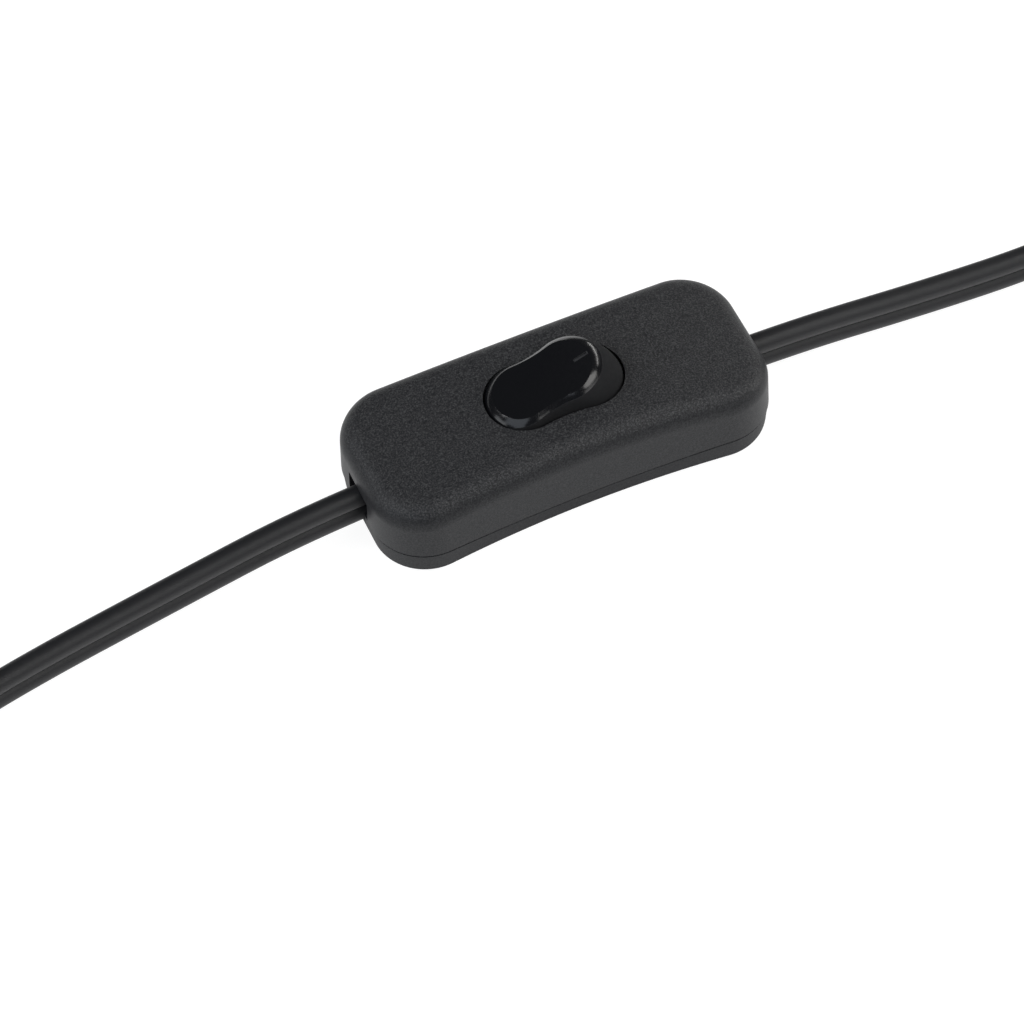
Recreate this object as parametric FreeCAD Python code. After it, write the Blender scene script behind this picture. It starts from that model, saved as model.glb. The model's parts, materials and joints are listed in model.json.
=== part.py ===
import FreeCAD, Part
import math
import os

# Inline cord switch, millimetres. X runs along the cord, Y across it, Z up.
# The origin lies under the middle of the housing, on the surface that it rests on.
# The rocker is shown with its left end pressed, which is the off position.

# Housing outline and heights
housing_length = 60.0
housing_width = 25.3
side_hollow = 0.7
corner_radius = 8.0
housing_height = 14.5
crown_drop = 2.45
top_edge_radius = 3.3
cover_draft_angle = 1.86
parting_height = 4.3
wall = 1.8
lap_depth = 1.5

# Base shell: flush with the cover but for a shadow gap, more hollow at the floor
base_inset = 0.1
base_side_hollow = 1.3
base_draft_angle = 3.8
shadow_gap_height = 0.4
shadow_gap_depth = 0.5
base_edge_radius = 1.05
floor_thickness = 1.8

# Interlocking lip of the base inside the cover
lip_height = 1.3
lip_thickness = 0.9
lip_clearance = 0.1
lip_notch_depth = 0.1

# Rocker opening and rocker
opening_length = 20.5
opening_width = 11.55
opening_waist = 10.85
opening_land = 0.9
opening_relief = 0.6
rocker_side_gap = 0.17
rocker_end_gap = 0.12
rocker_tilt = 16.3
rocker_pivot_height = 10.63
rocker_edge_above_pivot = 5.5
rocker_skirt_below_pivot = 1.5
rocker_side_taper = 0.32
rocker_levels = 6
edge_arc_radius = 0.4
edge_low_angle = 87.0
rim_arc_radius = 4.4
rim_low_angle = 44.0
rim_high_angle = 18.0
rim_levels = 5
dish_edge_radius = 0.2
dish_middle_above_pivot = 6.29
dish_radius = 75.0
rocker_wall = 1.5
trunnion_diameter = 2.4
trunnion_clearance = 0.08
trunnion_length = 1.5
mark_length = 2.0
mark_width = 0.4
mark_depth = 0.15
mark_distance = 6.15
lug_thickness = 1.4
lug_gap = 0.4
lug_width = 5.2
lug_below_pivot = 2.1

# Plunger and its spring in the rocker's centre post
post_diameter = 4.4
bore_diameter = 2.6
plunger_diameter = 2.2
plunger_top_above_pivot = -0.6
bore_top_above_pivot = 3.4
spring_wire = 0.3
spring_diameter = 1.8
spring_turns = 6
plunger_gap = 0.25

# Contact lever on its fulcrum
lever_length = 14.0
lever_width = 3.6
lever_thickness = 0.8
lever_tilt = 9.0
lever_end_radius = 1.75
fulcrum_height = 4.05
fulcrum_diameter = 1.0
fulcrum_gap = 0.05
ear_thickness = 0.8
ear_gap = 0.25
ear_length = 3.0
ear_above_fulcrum = 2.1
contact_distance = 5.5
rivet_head_diameter = 2.6
rivet_shank_diameter = 1.4
moving_head = 0.5
rivet_tail = 0.35
rivet_tail_diameter = 2.0
fixed_head = 0.36

# Brass plates on the floor and their screws
plate_thickness = 0.8
plate_edge_gap = 0.45
plate_ear_share = 0.248
terminal_from_end = 17.5
terminal_reach = 2.2
pad_inner_edge = 3.5
pad_length = 3.8
pad_arm_width = 2.8
common_foot_width = 3.2
terminal_head_gap = 0.05
terminal_head_height = 1.7
terminal_shank_diameter = 2.5
terminal_shank_length = 3.4
slot_width = 0.7
slot_depth = 0.8

# Housing screws, their posts in the base and their bosses in the cover
screw_from_end = 8.5
screw_from_side = 5.05
screw_head_diameter = 5.0
screw_head_height = 1.7
screw_shank_diameter = 2.6
screw_length = 9.5
screw_recess_depth = 2.2
screw_recess_gap = 0.2
screw_hole_gap = 0.15
screw_post_diameter = 6.6
cover_boss_diameter = 5.2
cover_boss_gap = 0.1
cross_length = 2.6

# Flat twin cord, standing on edge
core_diameter = 3.0
core_spacing = 2.9
groove_half_width = 1.0
cord_height = 4.95
slot_opening_width = 6.3
slot_opening_top = 8.05
base_notch_gap = 0.1
lip_notch_gap = 0.15

# Grip posts beside the cord
grip_length = 1.6
grip_depth = 2.2
grip_height = 6.6
grip_from_end = 3.0
grip_pitch = 1.7
grip_count = 3
grip_gap = 0.02

# Split conductors
split_from_end = 7.4
split_core_diameter = 2.75
strip_past_terminal = 2.8
split_run_share = 0.3
copper_diameter = 1.1
copper_past_screw = 1.5
core_end_height = 3.31

# Cord routes outside the housing, chosen to follow the photographed cord.
# Each point is given by its distance from the housing's end, then Y and Z.
left_route_from_end = [
    (7.0, -0.1, 4.95),
    (30.0, -2.2, 3.45),
    (52.0, -5.3, 3.0),
    (73.0, -9.6, 3.0),
]
right_route_from_end = [
    (6.0, -0.1, 4.95),
    (27.0, -0.9, 3.75),
    (46.0, -1.5, 3.0),
    (62.0, -2.6, 3.0),
]
route_fill = 0.45

# Hanks: the hidden cord, wound on edge in two layers and drawn in at its tie
left_hank_length = 106.0
left_hank_width = 35.4
left_hank_hollow = 5.2
left_hank_corner = 13.8
left_hank_across = -5.9
right_hank_length = 74.0
right_hank_width = 25.4
right_hank_hollow = 4.3
right_hank_corner = 9.5
right_hank_across = -1.0
hank_height = 12.0
hank_lift = 1.0
hank_edge = 1.4
tie_width = 8.0
tie_thickness = 0.8
tie_gap = 0.15

# Plug with two flat blades, and the stripped lamp end
plug_lead_length = 12.0
plug_length = 24.0
plug_width = 21.0
plug_height = 12.4
plug_across = -9.5
plug_corner = 3.1
plug_neck_width = 8.0
plug_neck_height = 8.6
plug_grip_width = 12.0
plug_grip_height = 9.6
plug_grip_share = 0.33
plug_head_share = 0.33
blade_length = 16.0
blade_height = 6.35
blade_thickness = 1.5
blade_spacing = 12.7
blade_hole_diameter = 3.2
blade_hole_from_tip = 3.5
blade_root = 6.0
blade_tip_chamfer = 1.2
lamp_lead_length = 8.0
lamp_core_length = 12.0
lamp_strip_length = 6.0

# Margin by which cutting bodies overrun what they cut, and the fit of a measured edge
overrun = 1.0
tolerance = 0.01

housing_end = housing_length / 2
split_distance = housing_end - split_from_end
left_route = [(-split_distance, 0.0, cord_height)]
left_route += [(-housing_end - x, y, z) for x, y, z in left_route_from_end]
right_route = [(split_distance, 0.0, cord_height)]
right_route += [(housing_end + x, y, z) for x, y, z in right_route_from_end]

X = FreeCAD.Vector(1, 0, 0)
Y = FreeCAD.Vector(0, 1, 0)
Z = FreeCAD.Vector(0, 0, 1)


def point(x, y, z):
    return FreeCAD.Vector(x, y, z)


def block(x0, x1, y0, y1, z0, z1):
    return Part.makeBox(x1 - x0, y1 - y0, z1 - z0, point(x0, y0, z0))


def upright(diameter, x, y, z0, z1):
    return Part.makeCylinder(diameter / 2, z1 - z0, point(x, y, z0))


def across(diameter, y0, y1, x, z):
    return Part.makeCylinder(diameter / 2, y1 - y0, point(x, y0, z), Y)


def fused(shapes):
    return shapes[0].multiFuse(shapes[1:]).removeSplitter()


def drop(run, angle):
    return run * math.tan(math.radians(angle))


# A waisted outline: round corners joined by a concave arc along each long side
def waisted_wire(length, width, waist, corner, inset, z):
    end = length / 2 - inset
    side = width / 2 - inset
    middle = waist / 2 - inset
    radius = corner - inset
    corner_x = end - radius
    corner_y = side - radius
    hollow = (corner_x ** 2 + (middle - corner_y) ** 2 - radius ** 2) / (2 * (side - middle))
    reach = math.hypot(corner_x, middle + hollow - corner_y)
    touch_x = corner_x - radius * corner_x / reach
    touch_y = corner_y + radius * (middle + hollow - corner_y) / reach
    start = math.atan2(touch_y - corner_y, touch_x - corner_x)
    bend_x = corner_x + radius * math.cos(start / 2)
    bend_y = corner_y + radius * math.sin(start / 2)
    edges = []
    near_far = [(1, 1), (1, -1), (-1, -1), (-1, 1)]
    for sx, sy in near_far:
        touch = point(sx * touch_x, sy * touch_y, z)
        bend = point(sx * bend_x, sy * bend_y, z)
        corner_end = point(sx * end, sy * corner_y, z)
        arc = Part.Arc(touch, bend, corner_end) if sx * sy > 0 else Part.Arc(corner_end, bend, touch)
        edges.append(arc.toShape())
        if sx * sy > 0 and corner_y > 0.001:
            line_end = point(sx * end, -sy * corner_y, z)
            edges.append(Part.makeLine(corner_end, line_end))
    for sy in (1, -1):
        left = point(-touch_x, sy * touch_y, z)
        right = point(touch_x, sy * touch_y, z)
        edges.append(Part.Arc(left, point(0, sy * middle, z), right).toShape())
    return Part.Wire(Part.__sortEdges__(edges))


def waisted_solid(length, width, waist, corner, low, high):
    low_inset, low_z = low
    high_inset, high_z = high
    bottom = waisted_wire(length, width, waist, corner, low_inset, low_z)
    top = waisted_wire(length, width, waist, corner, high_inset, high_z)
    return Part.makeLoft([bottom, top], True, True)


waist_width = housing_width - 2 * side_hollow
crown_radius = ((housing_length / 2) ** 2 + crown_drop ** 2) / (2 * crown_drop)
screw_distance = housing_length / 2 - screw_from_end
screw_offset = housing_width / 2 - screw_from_side


# The cover's outer form, or its cavity when inset by the wall
def cover_form(inset, low_z):
    high_z = housing_height + overrun
    high_inset = inset + drop(high_z - parting_height, cover_draft_angle)
    low_inset = inset - drop(parting_height - low_z, cover_draft_angle)
    low = (low_inset, low_z)
    high = (high_inset, high_z)
    form = waisted_solid(housing_length, housing_width, waist_width, corner_radius, low, high)
    radius = crown_radius - inset
    centre_z = housing_height - crown_radius
    crown = Part.makeCylinder(radius, housing_width + 2 * overrun,
                              point(0, -housing_width / 2 - overrun, centre_z), Y)
    form = form.common(crown)
    rim = []
    for face in form.Faces:
        is_crown = isinstance(face.Surface, Part.Cylinder) and abs(face.Surface.Radius - radius) < tolerance
        if is_crown:
            rim = face.Edges
    return form.makeFillet(top_edge_radius - inset, rim)


# The rocker opening: a short upright land at the top, wider below it
land_low = housing_height - crown_drop * (opening_length / housing_length) ** 2 - opening_land


def opening_form():
    corner = opening_width / 2
    high = (0, housing_height + overrun)
    land = waisted_solid(opening_length, opening_width, opening_waist, corner, (0, land_low), high)
    relief_low = (-opening_relief, housing_height - top_edge_radius)
    relief_high = (-opening_relief, land_low)
    relief = waisted_solid(opening_length, opening_width, opening_waist, corner, relief_low, relief_high)
    side = opening_width / 2
    along = block(-opening_length, opening_length, -side, side, relief_low[1], relief_high[1])
    return land.fuse(relief.common(along))


lug_inner = opening_width / 2 + lug_gap
lug_outer = lug_inner + lug_thickness


def make_top_cover():
    outer = cover_form(0, parting_height)
    cavity = cover_form(wall, parting_height - overrun)
    shell = outer.cut(cavity)
    solid_top = outer.common(block(-housing_length, housing_length, -housing_width, housing_width,
                                   parting_height, housing_height + overrun))
    additions = []
    lug_low = rocker_pivot_height - lug_below_pivot
    for side in (1, -1):
        y0 = min(side * lug_inner, side * lug_outer)
        lug = block(-lug_width / 2, lug_width / 2, y0, y0 + lug_thickness, lug_low, housing_height)
        additions.append(lug)
        boss_low = parting_height + cover_boss_gap
        boss = upright(cover_boss_diameter, -side * screw_distance, side * screw_offset,
                       boss_low, housing_height)
        additions.append(boss)
    additions = [piece.common(solid_top) for piece in additions]
    shell = fused([shell] + additions)
    cuts = [opening_form()]
    bearing = trunnion_diameter + 2 * trunnion_clearance
    cuts.append(across(bearing, -lug_outer - overrun, lug_outer + overrun, 0, rocker_pivot_height))
    for side in (1, -1):
        end = side * housing_length / 2
        x0 = min(end + side * overrun, end - side * 2 * wall)
        x1 = max(end + side * overrun, end - side * 2 * wall)
        cuts.append(block(x0, x1, -slot_opening_width / 2, slot_opening_width / 2,
                          parting_height - overrun, slot_opening_top))
        cuts.append(upright(screw_shank_diameter, -side * screw_distance, side * screw_offset,
                            parting_height, screw_recess_depth + screw_length))
    return shell.cut(fused(cuts[:1]).multiFuse(cuts[1:]))


cord_half_height = (core_spacing + core_diameter) / 2


def make_base_shell():
    low_inset = drop(parting_height, base_draft_angle)
    length = housing_length - 2 * base_inset
    width = housing_width - 2 * base_inset
    low_waist = width - 2 * base_side_hollow
    high_waist = waist_width - 2 * base_inset
    corner = corner_radius - base_inset
    foot = waisted_wire(length, width, low_waist, corner, low_inset, 0)
    top = waisted_wire(length, width, high_waist, corner, 0, parting_height)
    body = Part.makeLoft([foot, top], True, True)
    bottom_edges = [edge for edge in body.Edges if edge.BoundBox.ZMax < tolerance]
    body = body.makeFillet(base_edge_radius, bottom_edges)
    gap_low = parting_height - shadow_gap_height
    land = waisted_solid(length, width, high_waist, corner,
                         (shadow_gap_depth, gap_low), (shadow_gap_depth, parting_height + overrun))
    rebate = block(-length, length, -width, width, gap_low, parting_height + overrun).cut(land)
    body = body.cut(rebate)
    lip_outer = wall + lip_clearance
    lip_inner = lip_outer + lip_thickness
    lip_top = parting_height + lip_height
    cavity = waisted_solid(housing_length, housing_width, waist_width, corner_radius,
                           (lip_inner, floor_thickness), (lip_inner, lip_top + overrun))
    lip = waisted_solid(housing_length, housing_width, waist_width, corner_radius,
                        (lip_outer, parting_height - lap_depth), (lip_outer, lip_top))
    lip = lip.cut(cavity)
    shell = body.cut(cavity).fuse(lip)
    pieces = [shell]
    for side in (1, -1):
        pieces.append(upright(screw_post_diameter, -side * screw_distance, side * screw_offset,
                              floor_thickness - lap_depth, parting_height))
        for number in range(grip_count):
            facing = -side if number % 2 else side
            near = core_diameter / 2 + grip_gap
            x = side * (housing_length / 2 - grip_from_end - number * grip_pitch)
            y0 = min(facing * near, facing * (near + grip_depth))
            pieces.append(block(x - grip_length / 2, x + grip_length / 2, y0, y0 + grip_depth,
                                floor_thickness - lap_depth, floor_thickness + grip_height))
    shell = fused(pieces)
    cuts = []
    half_notch = core_diameter / 2 + base_notch_gap
    half_lip = slot_opening_width / 2 + lip_notch_gap
    for side in (1, -1):
        outer_x = side * (housing_length / 2 + overrun)
        inner_x = side * (housing_length / 2 - lip_inner - lip_notch_depth)
        x0 = min(outer_x, inner_x)
        x1 = max(outer_x, inner_x)
        cuts.append(block(x0, x1, -half_notch, half_notch,
                          cord_height - cord_half_height - base_notch_gap, lip_top + overrun))
        cuts.append(block(x0, x1, -half_lip, half_lip, parting_height, lip_top + overrun))
        x = -side * screw_distance
        y = side * screw_offset
        recess = screw_head_diameter + 2 * screw_recess_gap
        cuts.append(upright(recess, x, y, -overrun, screw_recess_depth))
        cuts.append(upright(screw_shank_diameter + 2 * screw_hole_gap, x, y, 0, parting_height + overrun))
        cuts.append(upright(cover_boss_diameter + 2 * cover_boss_gap, x, y, parting_height, lip_top + overrun))
    for x, y in terminal_places():
        low = floor_thickness + plate_thickness - terminal_shank_length + copper_diameter
        cuts.append(upright(terminal_shank_diameter, x, y, low, floor_thickness + overrun))
    for cutter in cuts:
        shell = shell.cut(cutter)
    return shell


def make_housing_screws():
    screws = []
    for side in (1, -1):
        x = -side * screw_distance
        y = side * screw_offset
        head = upright(screw_head_diameter, x, y, screw_recess_depth - screw_head_height, screw_recess_depth)
        low_edges = [edge for edge in head.Edges if edge.BoundBox.ZMax < screw_recess_depth - tolerance]
        bottom_rim = [edge for edge in low_edges if edge.Length > screw_head_diameter]
        head = head.makeFillet(slot_depth / 2, bottom_rim)
        shank = upright(screw_shank_diameter, x, y, screw_recess_depth, screw_recess_depth + screw_length)
        screw = fused([head, shank])
        low = screw_recess_depth - screw_head_height - overrun
        high = screw_recess_depth - screw_head_height + slot_depth
        half = slot_width / 2
        arm = cross_length / 2
        screw = screw.cut(block(x - arm, x + arm, y - half, y + half, low, high))
        screw = screw.cut(block(x - half, x + half, y - arm, y + arm, low, high))
        screws.append(screw)
    return Part.makeCompound(screws)


# The plates lie between the lever's ears and the base's wall
ear_outer = lever_width / 2 + ear_gap + ear_thickness
arm_far = waist_width / 2 - wall - lip_clearance - lip_thickness - plate_edge_gap
arm_near = ear_outer + plate_ear_share * (arm_far - ear_outer)
terminal_offset = (arm_near + arm_far) / 2
terminal_distance = housing_length / 2 - terminal_from_end
terminal_head_diameter = arm_far - arm_near - terminal_head_gap
strip_distance = terminal_distance + strip_past_terminal


# Places of the terminal screws: live on the near side, neutral on the far side
def terminal_places():
    return [(sx * terminal_distance, sy * terminal_offset) for sx in (-1, 1) for sy in (-1, 1)]


def turned(shape, x, z, angle):
    turned_shape = shape.copy()
    turned_shape.rotate(point(x, 0, z), Y, angle)
    return turned_shape


drum_radius = math.hypot(opening_length / 2, land_low - rocker_pivot_height) - rocker_end_gap
lever_low = fulcrum_height + fulcrum_diameter / 2 + fulcrum_gap
lever_high = lever_low + lever_thickness
plunger_reach = rocker_pivot_height - lever_high - plunger_gap


# The rocker's outline at a height, drawn in by an inset
def rocker_outline(inset, drum_z, taper, z):
    half_length = math.sqrt(drum_radius ** 2 - drum_z ** 2)
    half_width = opening_width / 2 - rocker_side_gap - taper
    half_waist = opening_waist / 2 - rocker_side_gap - taper
    return waisted_wire(2 * half_length, 2 * half_width, 2 * half_waist, half_width, inset, z)


# Waisted outlines at several levels, whose ends keep to the drum about the pivot axis
def rocker_form(inset, low, high):
    outlines = []
    for number in range(rocker_levels):
        z = low + (high - low) * number / (rocker_levels - 1)
        taper = rocker_side_taper * (z - low) / (high - low)
        outlines.append(rocker_outline(inset, z, taper, z))
    return Part.makeLoft(outlines, True, False)


# A rounded band that leans in from one slope angle to another, and where it ends
def rounded_band(inset, z, radius, low_angle, high_angle):
    low = math.radians(low_angle)
    high = math.radians(high_angle)
    outlines = []
    for number in range(rim_levels):
        angle = low + (high - low) * number / (rim_levels - 1)
        level_inset = inset + radius * (math.sin(low) - math.sin(angle))
        level_z = z + radius * (math.cos(angle) - math.cos(low))
        outlines.append(rocker_outline(level_inset, rocker_edge_above_pivot, rocker_side_taper, level_z))
    return Part.makeLoft(outlines, True, False), level_inset, level_z


# The rocker is drawn level about its pivot axis, then tipped and lifted into place
def make_rocker_button():
    low = -rocker_skirt_below_pivot
    under_top = dish_middle_above_pivot - rocker_wall
    skirt = rocker_form(0, low, rocker_edge_above_pivot)
    edge, edge_inset, edge_z = rounded_band(0, rocker_edge_above_pivot, edge_arc_radius,
                                            edge_low_angle, rim_low_angle)
    rim, rim_inset, rim_z = rounded_band(edge_inset, edge_z, rim_arc_radius, rim_low_angle, rim_high_angle)
    body = fused([skirt, edge, rim])
    dish_z = dish_middle_above_pivot + dish_radius
    body = body.cut(across(2 * dish_radius, -opening_width, opening_width, 0, dish_z))
    dish_edges = []
    for face in body.Faces:
        if isinstance(face.Surface, Part.Cylinder) and abs(face.Surface.Radius - dish_radius) < tolerance:
            dish_edges += face.Edges
    body = body.makeFillet(dish_edge_radius, dish_edges)
    body = body.cut(rocker_form(rocker_wall, low - overrun, under_top))
    post = upright(post_diameter, 0, 0, low, under_top)
    pieces = [body, post]
    waist_half = opening_waist / 2 - rocker_side_gap
    for side in (1, -1):
        inner = waist_half - rocker_wall / 2
        outer = lug_inner + trunnion_length - trunnion_clearance
        y0 = min(side * inner, side * outer)
        pieces.append(across(trunnion_diameter, y0, y0 + outer - inner, 0, 0))
    body = fused(pieces)
    body = body.cut(upright(bore_diameter, 0, 0, low - overrun, bore_top_above_pivot))
    surface = dish_middle_above_pivot + mark_distance ** 2 / (2 * dish_radius)
    mark = block(mark_distance - mark_length / 2, mark_distance + mark_length / 2,
                 -mark_width / 2, mark_width / 2, surface - mark_depth, surface + overrun)
    body = body.cut(mark)
    return placed_with_rocker(body)


def placed_with_rocker(shape):
    shape = turned(shape, 0, 0, -rocker_tilt)
    shape.translate(point(0, 0, rocker_pivot_height))
    return shape


def make_plunger():
    radius = plunger_diameter / 2
    stem = upright(plunger_diameter, 0, 0, -plunger_reach + radius, plunger_top_above_pivot)
    tip = Part.makeSphere(radius, point(0, 0, -plunger_reach + radius))
    return placed_with_rocker(fused([stem, tip]))


def make_contact_spring():
    height = bore_top_above_pivot - plunger_top_above_pivot - spring_wire
    radius = spring_diameter / 2
    helix = Part.makeHelix(height / spring_turns, height, radius)
    section = Part.Wire(Part.makeCircle(spring_wire / 2, point(radius, 0, 0), Y))
    coil = Part.Wire(helix).makePipeShell([section], True, True)
    coil.translate(point(0, 0, plunger_top_above_pivot + spring_wire / 2))
    return placed_with_rocker(coil)


def placed_with_lever(shape):
    return turned(shape, 0, fulcrum_height, lever_tilt)


def make_contact_lever():
    lever = block(-lever_length / 2, lever_length / 2, -lever_width / 2, lever_width / 2,
                  lever_low, lever_high)
    corners = [edge for edge in lever.Edges if edge.BoundBox.ZLength > lever_thickness - tolerance]
    lever = lever.makeFillet(lever_end_radius, corners)
    lever = lever.cut(upright(rivet_shank_diameter, -contact_distance, 0,
                              lever_low - overrun, lever_high + overrun))
    return placed_with_lever(lever)


def make_moving_contact():
    x = -contact_distance
    head = upright(rivet_head_diameter, x, 0, lever_low - moving_head, lever_low)
    shank = upright(rivet_shank_diameter, x, 0, lever_low, lever_high)
    tail = upright(rivet_tail_diameter, x, 0, lever_high, lever_high + rivet_tail)
    return placed_with_lever(fused([head, shank, tail]))


plate_top = floor_thickness + plate_thickness
arm_out = terminal_distance + terminal_reach


def screw_holes(plate):
    for x, y in terminal_places():
        plate = plate.cut(upright(terminal_shank_diameter, x, y,
                                  floor_thickness - overrun, plate_top + overrun))
    return plate


def make_switched_terminal():
    pad_out = pad_inner_edge + pad_length
    half = lever_width / 2
    arm_x = pad_inner_edge + overrun
    pad = block(-pad_out, -pad_inner_edge, -half, half, floor_thickness, plate_top)
    link = block(-pad_out, -pad_out + pad_arm_width, -arm_far, half, floor_thickness, plate_top)
    arm = block(-arm_out, -arm_x, -arm_far, -arm_near, floor_thickness, plate_top)
    plate = fused([pad, link, arm])
    plate = plate.cut(upright(rivet_shank_diameter, -contact_distance, 0,
                              floor_thickness - overrun, plate_top + overrun))
    return screw_holes(plate)


def make_fixed_contact():
    x = -contact_distance
    shank = upright(rivet_shank_diameter, x, 0, floor_thickness, plate_top)
    head = upright(rivet_head_diameter, x, 0, plate_top, plate_top + fixed_head)
    return fused([shank, head])


def make_common_terminal():
    half_foot = common_foot_width / 2
    ear_inner = ear_outer - ear_thickness
    foot = block(-half_foot, half_foot, -arm_far, ear_outer, floor_thickness, plate_top)
    arm = block(-half_foot, arm_out, -arm_far, -arm_near, floor_thickness, plate_top)
    pieces = [foot, arm]
    ear_top = fulcrum_height + ear_above_fulcrum
    for side in (1, -1):
        y0 = min(side * ear_inner, side * ear_outer)
        pieces.append(block(-ear_length / 2, ear_length / 2, y0, y0 + ear_thickness, floor_thickness, ear_top))
    pieces.append(across(fulcrum_diameter, -ear_outer, ear_outer, 0, fulcrum_height))
    pieces.append(block(-fulcrum_diameter / 2, fulcrum_diameter / 2, -ear_outer, ear_outer,
                        floor_thickness, fulcrum_height))
    return screw_holes(fused(pieces))


def make_neutral_link():
    bar = block(-arm_out, arm_out, arm_near, arm_far, floor_thickness, plate_top)
    return screw_holes(bar)


def make_terminal_screws():
    screws = []
    head_low = plate_top + copper_diameter
    head_high = head_low + terminal_head_height
    for x, y in terminal_places():
        head = upright(terminal_head_diameter, x, y, head_low, head_high)
        shank = upright(terminal_shank_diameter, x, y, head_low - terminal_shank_length, head_low)
        screw = fused([head, shank])
        reach = terminal_head_diameter
        slot = block(x - reach, x + reach, y - slot_width / 2, y + slot_width / 2,
                     head_high - slot_depth, head_high + overrun)
        screws.append(screw.cut(slot))
    return Part.makeCompound(screws)


# A route of straight runs joined by tangent arcs; also returns the arc radii and the length
def rounded_route(places):
    corners = [FreeCAD.Vector(*place) for place in places]
    edges = []
    radii = []
    start = corners[0]
    for before, here, after in zip(corners, corners[1:], corners[2:]):
        incoming = here - before
        outgoing = after - here
        half_turn = incoming.getAngle(outgoing) / 2
        trim = route_fill * min(incoming.Length, outgoing.Length)
        incoming.normalize()
        outgoing.normalize()
        enter = here - incoming * trim
        leave = here + outgoing * trim
        radius = trim / math.tan(half_turn)
        inward = outgoing - incoming
        inward.normalize()
        middle = here + inward * (radius / math.cos(half_turn) - radius)
        edges.append(Part.makeLine(start, enter))
        edges.append(Part.Arc(enter, middle, leave).toShape())
        radii.append(radius)
        start = leave
    edges.append(Part.makeLine(start, corners[-1]))
    wire = Part.Wire(edges)
    return wire, radii


# Section of the twin cord on edge: two round cores and the web between them
def cord_section(place):
    radius = core_diameter / 2
    half_spacing = core_spacing / 2
    web_z = half_spacing - math.sqrt(radius ** 2 - groove_half_width ** 2)
    side = groove_half_width
    edges = [
        Part.Arc(point(0, side, web_z), point(0, 0, half_spacing + radius), point(0, -side, web_z)).toShape(),
        Part.makeLine(point(0, -side, web_z), point(0, -side, -web_z)),
        Part.Arc(point(0, -side, -web_z), point(0, 0, -half_spacing - radius), point(0, side, -web_z)).toShape(),
        Part.makeLine(point(0, side, -web_z), point(0, side, web_z)),
    ]
    section = Part.Wire(edges)
    section.translate(place)
    return section


def cord_tube(name, places):
    wire, radii = rounded_route(places)
    section = cord_section(FreeCAD.Vector(*places[0]))
    sweep = Part.BRepOffsetAPI.MakePipeShell(wire)
    sweep.setBiNormalMode(Z)
    sweep.add(section)
    sweep.build()
    sweep.makeSolid()
    tube = sweep.shape()
    area = Part.Face(section).Area
    print(name, "length", round(wire.Length, 1), "radii", [round(radius, 1) for radius in radii],
          "volume ratio", round(tube.Volume / (area * wire.Length), 4))
    return tube


def round_tube(diameter, places):
    wire, radii = rounded_route(places)
    start = FreeCAD.Vector(*places[0])
    direction = FreeCAD.Vector(*places[1]) - start
    section = Part.Wire(Part.makeCircle(diameter / 2, start, direction))
    return wire.makePipeShell([section], True, True)


copper_height = plate_top + copper_diameter / 2
wire_offset = terminal_offset - terminal_shank_diameter / 2 - copper_diameter / 2


# The split conductors: the lower one is live and goes to the near side
def conductor_ends(side, is_live):
    level = -core_spacing / 2 if is_live else core_spacing / 2
    across_sign = -1 if is_live else 1
    y = across_sign * wire_offset
    split = (side * split_distance, 0.0, cord_height + level)
    strip = (side * strip_distance, y, core_end_height)
    return split, strip


def make_core(side, is_live):
    split, strip = conductor_ends(side, is_live)
    straight = split_run_share * (split_distance - strip_distance)
    inner = (split[0] - side * straight, split[1], split[2])
    outer = (strip[0] + side * straight, strip[1], strip[2])
    return round_tube(split_core_diameter, [split, inner, outer, strip])


def make_core_ends():
    ends = []
    for side in (-1, 1):
        for is_live in (True, False):
            split, strip = conductor_ends(side, is_live)
            tip = side * (terminal_distance - copper_past_screw)
            length = abs(strip[0] - tip)
            ends.append(Part.makeCylinder(copper_diameter / 2, length,
                                          point(strip[0], strip[1], copper_height), X * -side))
    return Part.makeCompound(ends)


def make_hank(middle, across_y, length, width, hollow, corner):
    waist = width - 2 * hollow
    hank = waisted_solid(length, width, waist, corner, (0, hank_lift), (0, hank_lift + hank_height))
    level = [edge for edge in hank.Edges if edge.BoundBox.ZLength < tolerance]
    hank = hank.makeFillet(hank_edge, level)
    hank.translate(point(middle, across_y, 0))
    return hank


def make_tie(x, y, waist):
    half_inner = waist / 2 + tie_gap
    half_outer = half_inner + tie_thickness
    x0 = x - tie_width / 2
    low = hank_lift - tie_gap
    high = hank_lift + hank_height + tie_gap
    outer = block(x0, x0 + tie_width, y - half_outer, y + half_outer, low - tie_thickness, high + tie_thickness)
    inner = block(x0 - overrun, x0 + tie_width + overrun, y - half_inner, y + half_inner, low, high)
    along = [edge for edge in outer.Edges if edge.BoundBox.XLength > tie_width - tolerance]
    outer = outer.makeFillet(hank_edge + tie_thickness, along)
    inner_along = [edge for edge in inner.Edges if edge.BoundBox.XLength > tie_width]
    inner = inner.makeFillet(hank_edge, inner_along)
    return outer.cut(inner)


left_end = left_route[-1]
right_end = right_route[-1]
left_hank_middle = left_end[0] - left_hank_length / 2
right_hank_middle = right_end[0] + right_hank_length / 2
left_hank_far = left_end[0] - left_hank_length
right_hank_far = right_end[0] + right_hank_length
plug_level = plug_height / 2
plug_start = left_hank_far - plug_lead_length
plug_face = plug_start - plug_length
lamp_start = right_hank_far + lamp_lead_length
lamp_level = right_end[2]


def straight_cord(x0, x1, y, z):
    section = Part.Face(cord_section(point(x0, y, z)))
    return section.extrude(point(x1 - x0, 0, 0))


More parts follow.
